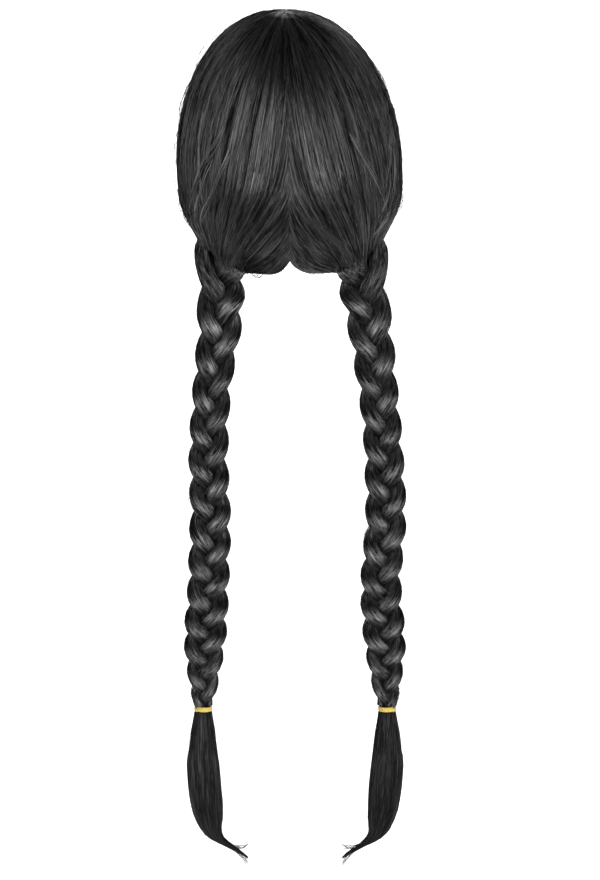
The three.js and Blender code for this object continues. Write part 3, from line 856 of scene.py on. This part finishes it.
def crossing_fibres(side, finish):
    rng = np.random.default_rng(side["seed"] + 400)
    steps, each = 14, 9
    share = np.linspace(0, 1, steps)
    lines, alongs = [], []
    for round_a, along_a, round_b, along_b in CROSSING[side["name"]]:
        own = 0.005 * rng.uniform(-1, 1, (each, 1))
        along = mix(along_a, along_b, share) + 0.02 * rng.uniform(-1, 1, (each, 1))
        round_ = mix(round_a, round_b, share ** 1.2) + own * (1 - 0.5 * share)
        lift = 0.0008 + 0.0012 * np.sin(np.pi * share) + 0.0006 * rng.uniform(0, 1, (each, 1))
        lines.append(combed(side, round_, along, np.maximum(relief(side, round_, along), -0.0004) + lift))
        alongs.append(along)
    lines, alongs = np.concatenate(lines), np.concatenate(alongs)
    girths = tapered(len(lines), steps, FINE_FIBRE, side["seed"] + 401, root=0.3, tip=0.3, tip_length=0.3)
    lanes = rng.uniform(0, 1, len(lines))
    lines = to_side(side, lines)
    name = "crossing_fibres_" + side["name"]
    return drawn(name, lines, girths, lanes, finish, alongs, waver_length=0.04, seed=side["seed"])


# The plaits


def plait_turns(side):
    """Where the first strand is in its figure of eight, in turns, at evenly spaced levels."""
    levels = 50
    share = (np.arange(levels) + 0.5) / levels
    pitch = PLAIT_PITCH * sample(side["rows"], "pitch", share)
    return np.concatenate([[0], np.cumsum(PLAIT_LENGTH / levels / pitch)])


def strand_place(turn):
    angle = 2 * np.pi * turn
    return np.stack([SWING[0] * np.sin(angle), -SWING[1] * np.sin(2 * angle)], -1)


def strand_turns(side, strand, share):
    return np.interp(share, np.linspace(0, 1, 51), plait_turns(side)) + FIRST_TURN + strand / 3


def strand_point(side, strand, share, angle, swell):
    """Points round a strand, which flattens where it presses on the other two."""
    share, angle, swell = np.broadcast_arrays(*(np.asarray(v, float) for v in (share, angle, swell)))
    turns = strand_turns(side, strand, share)
    angle = angle - TWIST * np.cos(2 * np.pi * turns)
    pinch = 1 - 0.2 * smooth(share, 0.965, 1)
    width = PLAIT_WIDTH * sample(side["rows"], "width", share) * pinch
    depth = PLAIT_DEPTH * sample(side["rows"], "depth", share) * pinch
    size = np.stack([width, depth], -1) * REACH
    middle = strand_place(turns) / REACH
    heading = np.stack([np.cos(angle), np.sin(angle)], -1)
    inward = np.clip(-heading[..., 0] * middle[..., 0] * REACH[0] / SWING[0], 0, 1)
    own = np.abs(heading[..., 0] / (1 + INWARD * inward)) ** BOXINESS + np.abs(heading[..., 1]) ** BOXINESS
    full = own ** (-1 / BOXINESS)
    half_gap = STRAND_GAP / 2 / size.min(-1)
    inverse = full ** -CRISPNESS
    for shift in (1 / 3, 2 / 3):
        other = strand_place(turns + shift) / REACH - middle
        distance = np.linalg.norm(other, axis=-1)
        facing = (heading * other).sum(-1) / distance
        limit = (distance / 2 - half_gap) / np.maximum(facing, 1e-3)
        inverse = inverse + np.where(facing > 0, limit, 1e3) ** -CRISPNESS
    radius = inverse ** (-1 / CRISPNESS)
    flat = (middle + heading * radius[..., None]) * size + heading * swell[..., None]
    tilt = math.tan(math.radians(GATHER_TILT)) * (1 - smooth(share, 0, TILT_FADE))
    raised = np.stack([flat[..., 0], flat[..., 1], flat[..., 0] * tilt], -1)
    return raised + plait_middle(side, share)


def strand_bed(side, strand, finish):
    levels, around = 130, 36
    share = np.linspace(0, 1, levels + 1)[:, None]
    angle = np.linspace(0, 2 * np.pi, around, endpoint=False)
    seed = side["seed"] + 20 + strand
    ridges = 0.00035 * drift(angle * 40 / (2 * np.pi) + 0 * share, share * 30, seed)
    loops = strand_point(side, strand, share, angle, ridges - 0.0003)
    name = "plait_%s_strand_%d_bed" % (side["name"], strand + 1)
    lanes = np.abs(np.linspace(-1, 1, around, endpoint=False))
    return lofted(name, to_side(side, loops), lanes, strand_turns(side, strand, share) / MOST_TURNS, finish)


def strand_fibres(side, strand, count, finish):
    seed = side["seed"] * 10 + 70 + strand
    rng = np.random.default_rng(seed)
    steps = 25
    loose = np.arange(count)[:, None] > 0.93 * count
    span = np.where(loose, rng.uniform(0.06, 0.14, (count, 1)), rng.uniform(0.3, 0.4, (count, 1)))
    start = mix(-0.3 * span, 1 - 0.7 * span, rng.uniform(0, 1, (count, 1)))
    share = np.clip(mix(start, start + span, np.linspace(0, 1, steps)), 0, 1)
    home = rng.uniform(0, 2 * np.pi, (count, 1))
    own = rng.uniform(0, 100, (count, 1))
    angle = home + 0.25 * drift(share * 12 + own, own, seed + 1) + 0.1 * drift(home * 7, share * 18, seed + 2)
    lift = 0.0001 + 0.0004 * rng.uniform(0, 1, (count, 1)) ** 1.5
    off = LOOSE_REACH * rng.uniform(0, 1, (count, 1)) ** 1.3 * np.linspace(0, 1, steps) ** 1.6
    lift = lift + 0.0002 * drift(share * 25 + own, own, seed + 3) + np.where(loose, off, 0)
    lines = strand_point(side, strand, share, angle, lift)
    girths = tapered(count, steps, FINE_FIBRE, seed + 4, tip_length=0.1) * np.where(loose, 0.75, 1)
    name = "plait_%s_strand_%d_fibres" % (side["name"], strand + 1)
    lanes = np.abs(home[:, 0] / np.pi - 1) + rng.normal(0, 0.02, count)
    reaches = strand_turns(side, strand, share) / MOST_TURNS
    return drawn(name, to_side(side, lines), girths, lanes, finish, reaches, waver_length=0.03, seed=seed)


def ring_share(degrees):
    """Which share from the forehead to the nape comes to a place round the gather."""
    grid = np.linspace(0, 1, 300)
    return np.interp(degrees, sample(COMBING, "ring", grid), grid)


def flowing_fibres(side, count, finish):
    """Fibres that leave the combed hair over the gather and run on down the strands."""
    seed = side["seed"] * 10 + 66
    rng = np.random.default_rng(seed)
    tries = count * 6
    strand = rng.integers(0, 3, (tries, 1))
    angle = rng.uniform(0, 2 * np.pi, (tries, 1))
    first = rng.uniform(0.008, 0.03, (tries, 1))
    offset = strand_point(side, strand, first, angle, 0.0)[:, 0] - plait_middle(side, first)[:, 0]
    out, back = offset[:, 0] / GATHER_HALF_WIDTH, offset[:, 1] / GATHER_HALF_DEPTH
    ring = np.degrees(np.arctan2(back, out))
    ring = np.where(ring < COMBING[0]["ring"] - 8, ring + 360, ring)
    kept = (np.hypot(out, back) > 0.72) & (ring < COMBING[-1]["ring"] + 4)
    kept = np.flatnonzero(kept)[:count]
    strand, angle, first, ring = strand[kept], angle[kept], first[kept], ring[kept, None]
    count = len(kept)
    along = mix(rng.uniform(0.7, 0.88, (count, 1)), 0.965, np.linspace(0, 1, 6))
    round_ = np.clip(ring_share(ring) + 0.01 * rng.uniform(-1, 1, (count, 1)), 0.004, 0.996)
    lift = rng.uniform(0.0005, 0.0014, (count, 1))
    above = combed(side, round_, along, lift + np.maximum(relief(side, round_, along), -0.003))
    share = mix(first, first + rng.uniform(0.05, 0.1, (count, 1)), np.linspace(0, 1, 9))
    below = strand_point(side, strand, share, angle, rng.uniform(0.0001, 0.0007, (count, 1)))
    lines = np.concatenate([above, below], 1)
    reaches = np.concatenate([0.1 * (along - 1), share], 1)
    girths = tapered(count, 15, HEAD_FIBRE, seed + 1, tip_length=0.3)
    lanes = np.abs(angle[:, 0] / np.pi - 1) + rng.normal(0, 0.03, count)
    name = "gathered_fibres_" + side["name"]
    return drawn(name, to_side(side, lines), girths, lanes, finish, reaches, waver_length=0.05, seed=seed)


# The elastics and the loose ends


def bind_top(side):
    return plait_middle(side, 1.0) + np.array([0, 0, -PIECE_GAP])


def tail_point(side, lock, share, aside, behind, own=0.0):
    """Points in one lock of a loose end: aside and behind run from -1 to 1 across it."""
    share, aside, behind = np.broadcast_arrays(*(np.asarray(v, float) for v in (share, aside, behind)))
    spread = smooth(share, 0, 0.35)
    half_width = TAIL_HALF_WIDTH * sample(TAIL_ROWS, "width", share)
    half_depth = TAIL_HALF_DEPTH * sample(TAIL_ROWS, "depth", share)
    top = bind_top(side)
    sweep = TAIL_SWEEP * sample(TAIL_ROWS, "sweep", share * mix(lock["reach"], 1, share))
    x = top[0] - sweep + spread * lock["aside"] * half_width + aside * half_width * lock["size"]
    y = top[1] + spread * lock["behind"] * half_depth + behind * half_depth * lock["size"]
    fall = TAIL_LENGTH * lock["reach"] * share
    z = top[2] - ELASTIC_HEIGHT - fall + lock["flick"] * smooth(share, 0.93, 1.03)
    return np.stack([x, y, z + 0 * x], -1) + own


def tail_bed(side, finish):
    """The shaped locks of a loose end and the neck that the elastic binds, as one piece."""
    around = 28
    angle = np.linspace(0, 2 * np.pi, around, endpoint=False)
    beds = []
    for i, lock in enumerate(TAIL_LOCKS):
        share = np.linspace(0, 1, 30)[:, None]
        ridges = 0.93 + 0.05 * drift(angle * 4, share * 5, side["seed"] + 30 + i)
        loops = tail_point(side, lock, share, ridges * np.cos(angle), ridges * np.sin(angle))
        lanes = np.abs(np.linspace(-1, 1, around, endpoint=False))
        beds.append(lofted("tail_lock", to_side(side, loops), lanes, share, finish))
    levels = np.linspace(0, -ELASTIC_HEIGHT - ELASTIC_CORD, 5)
    top = bind_top(side)
    ring = np.stack([BIND_HALF_WIDTH * np.cos(angle), BIND_HALF_DEPTH * np.sin(angle), 0 * angle], -1) * 0.88
    neck = ring + top + np.array([0, 0, 1.0]) * levels[:, None, None]
    neck = to_side(side, neck)
    beds.append(lofted("tail_neck", neck, np.linspace(0, 1, around), levels[:, None] * 0, finish))
    return joined("tail_bed_" + side["name"], beds)


def joined(name, pieces):
    """Several closed skins kept together as one piece."""
    bpy.ops.object.select_all(action="DESELECT")
    for piece in pieces:
        piece.select_set(True)
    bpy.context.view_layer.objects.active = pieces[0]
    bpy.ops.object.join()
    pieces[0].name = name
    pieces[0].data.name = name
    return pieces[0]


def tail_fibres(side, finish):
    steps = 14
    lines, lanes = [], []
    for i, lock in enumerate(TAIL_LOCKS):
        rng = np.random.default_rng(side["seed"] * 10 + 90 + i)
        count = lock["fibres"]
        turn = rng.uniform(0, 2 * np.pi, (count, 1))
        out = np.sqrt(rng.uniform(0.45, 1.0, (count, 1)))
        own = rng.uniform(0, 100, (count, 1))
        end = rng.uniform(0.8, 1.04, (count, 1))
        share = end * np.linspace(0, 1, steps)
        turned = turn + 0.35 * drift(share * 3 + own, own, 5 + i)
        loose = 1 + 0.07 * drift(share * 3 + own, own + 9, 6 + i) * smooth(share, 0.1, 0.6)
        points = tail_point(side, lock, share, out * loose * np.cos(turned), out * loose * np.sin(turned))
        points[..., 2] -= np.maximum(share - 1, 0) * TAIL_LENGTH * 0.6
        lines.append(points)
        lanes.append(rng.uniform(0, 1, count))
    lines, lanes = np.concatenate(lines), np.concatenate(lanes)
    girths = tapered(len(lines), steps, FINE_FIBRE, side["seed"] + 95, root=1.0, tip=0.2, tip_length=0.3)
    lines = to_side(side, lines)
    name = "tail_%s_fibres" % side["name"]
    return drawn(name, lines, girths, lanes, finish, waver=0.0005, waver_length=0.04, seed=side["seed"])


def elastic(side, finish):
    """A gold cord wound three times round the neck, its ends tucked in under the turns."""
    turns, per_turn = 3, 40
    cord = ELASTIC_HEIGHT / turns / 2
    t = np.linspace(0, turns, turns * per_turn + 1)
    angle = 2 * np.pi * t + 0.7
    tuck = np.minimum(smooth(t, 0, 0.15), smooth(turns - t, 0, 0.15))
    reach = -0.45 * cord
    half_width = BIND_HALF_WIDTH + reach - (1 - tuck) * cord
    half_depth = BIND_HALF_DEPTH + reach - (1 - tuck) * cord
    drop = cord + (ELASTIC_HEIGHT - 2 * cord) * t / turns
    line = bind_top(side) + np.stack([half_width * np.cos(angle), half_depth * np.sin(angle), -drop], -1)
    girths = np.full((1, len(t)), cord * 0.95)
    name = "wound_elastic_" + side["name"]
    return drawn(name, to_side(side, line[None]), girths, [0.5], finish, flats=14, waver=0.0)


# The cap inside


def cap(finish):
    """The net dome that carries the hair, thicker along its hem."""
    around, rings = 96, 22
    turn = np.linspace(0, 360, around, endpoint=False) - 90
    share = 1 - np.abs(1 - 2 * np.arange(around) / around)
    hem = sample(HEM_ROWS, "rise", share)
    hem_share = 0.009 / (HEAD_CROWN * math.radians(90))

    def ring(down, thickness):
        return head_point(direction(turn, mix(90, hem, down)), **even_growth(thickness))

    downs = (np.arange(rings) + 1) * (1 - hem_share) / rings
    outer = [ring(down, CAP_WALL) for down in downs]
    brim = [ring(1 - hem_share / 2, HEM_WALL), ring(1, HEM_WALL)]
    inner = [ring(down, 0.0) for down in [*downs, 1][::-1]]
    loops = np.array([*outer, *brim, *inner])
    rows = len(loops)
    points = np.concatenate([loops.reshape(-1, 3), [[0, 0, CAP_WALL], [0, 0, 0]]])
    faces = loft_faces(rows, around)[:-2]
    last = (rows - 1) * around
    for i in range(around):
        faces.append((rows * around, (i + 1) % around, i))
        faces.append((rows * around + 1, last + i, last + (i + 1) % around))
    lanes = np.concatenate([np.tile(np.linspace(0, 1, around), rows), [0, 0]])
    reaches = np.concatenate([np.repeat(np.linspace(0, 1, rows), around), [0, 1]])
    return piece_from("cap_dome", points, faces, lanes, reaches, finish)


def dress(piece, node):
    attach(piece, "root")
    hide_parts(node)


# The studio


def place_camera():
    data = bpy.data.cameras.new("camera")
    data.lens = 94.4
    data.sensor_width = 36
    data.shift_x = 0.0114
    camera = bpy.data.objects.new("camera", data)
    camera.location = (0, 2.0, 0.00865)
    camera.rotation_euler = Euler((math.radians(90 - 10.5), 0, math.radians(180)))
    bpy.context.scene.collection.objects.link(camera)
    bpy.context.scene.camera = camera


def softbox(name, place, aim, width, height, power):
    data = bpy.data.lights.new(name, "AREA")
    data.shape = "RECTANGLE"
    data.size = width
    data.size_y = height
    data.energy = power
    lamp = bpy.data.objects.new(name, data)
    lamp.location = place
    lamp.rotation_euler = (Vector(aim) - Vector(place)).to_track_quat("-Z", "Y").to_euler()
    bpy.context.scene.collection.objects.link(lamp)


def sweep():
    """A pale floor that curves up behind the wig."""
    floor = -0.735
    across = [-3.0, 3.0]
    depth_height = [(0.5, floor), (-3.4, floor)]
    for i in range(1, 13):
        turn = math.radians(90) * i / 12
        depth_height.append((-3.4 - 1.0 * math.sin(turn), floor + 1.0 * (1 - math.cos(turn))))
    depth_height.append((-4.4, 4.0))
    points = [(x, y, z) for y, z in depth_height for x in across]
    faces = [(2 * i, 2 * i + 2, 2 * i + 3, 2 * i + 1) for i in range(len(depth_height) - 1)]
    mesh = bpy.data.meshes.new("sweep")
    mesh.from_pydata(points, [], faces)
    mesh.shade_smooth()
    mesh.materials.append(stage_finish())
    made = bpy.data.objects.new("sweep", mesh)
    bpy.context.scene.collection.objects.link(made)


def light_studio():
    world = bpy.data.worlds.new("studio")
    world.use_nodes = True
    tree = world.node_tree
    backdrop = tree.nodes["Background"]
    backdrop.inputs["Color"].default_value = (0.95, 0.97, 1.0, 1)
    rays = tree.nodes.new("ShaderNodeLightPath")
    seen = ranged(tree, rays.outputs["Is Camera Ray"], to_min=ROOM_LIGHT, to_max=BACKDROP_LIGHT)
    tree.links.new(seen, backdrop.inputs["Strength"])
    bpy.context.scene.world = world
    softbox("key", (0.0, 3.2, 0.1), (0, 0, -0.1), 5.2, 4.8, 265)
    softbox("side fill", (-3.0, 1.9, 0.2), (0, 0, -0.12), 1.6, 2.4, 55)
    bpy.context.scene.view_settings.view_transform = "Standard"


place_camera()
light_studio()
sweep()

FIBRE_TREE = fibre_tree()
STREAKS = streak_group()
# The fifth number of each finish is a painted shade that dims its sheen towards the end of its reach
COMBED = hair_finish("combed hair", 500, 3.0, 0.0, 1.1, 0.85, crown=True)
# A copy of combed hair with a lower sheen and more painted shade along its reach
NAPE_SHADED = hair_finish("nape hair", 500, 3.0, 0.0, 1.0, 0.45)
PLAITED = hair_finish("plaited hair", 30, 55.0, 7.0, 1.1, 0.2, 0.48, 2.5, painted_lobe_shade=True)
GATHERED = hair_finish("gathered hair", 30, 40.0, 7.0, 0.8, 0.3, 0.4, 2.0)
STRAY = hair_finish("stray hair", 500, 3.0, 0.0, 1.0, 1.0, 0.42, 3.0)
LOOSE = hair_finish("loose ends", 32, 4.0, 3.0, 0.13, 0.7)
NET = net_finish()
GOLD = elastic_finish()

dress(cap(NET), "wig_cap")
for side in SIDES:
    for section, count, finish in zip(SECTIONS, (1000, 1050, 620), (COMBED, COMBED, NAPE_SHADED)):
        node = section["name"] + "_" + side["name"]
        dress(hair_bed(side, section, finish), node)
        dress(combed_fibres(side, section, count, finish), node)
    dress(crossing_fibres(side, STRAY), "side_hair_" + side["name"])
    for strand in range(3):
        node = "plait_%s_strand_%d" % (side["name"], strand + 1)
        dress(strand_bed(side, strand, PLAITED), node)
        dress(strand_fibres(side, strand, 250, PLAITED), node)
    dress(flowing_fibres(side, 380, GATHERED), "plait_%s_strand_1" % side["name"])
    dress(elastic(side, GOLD), "elastic_" + side["name"])
    dress(tail_bed(side, LOOSE), "tail_" + side["name"])
    dress(tail_fibres(side, LOOSE), "tail_" + side["name"])
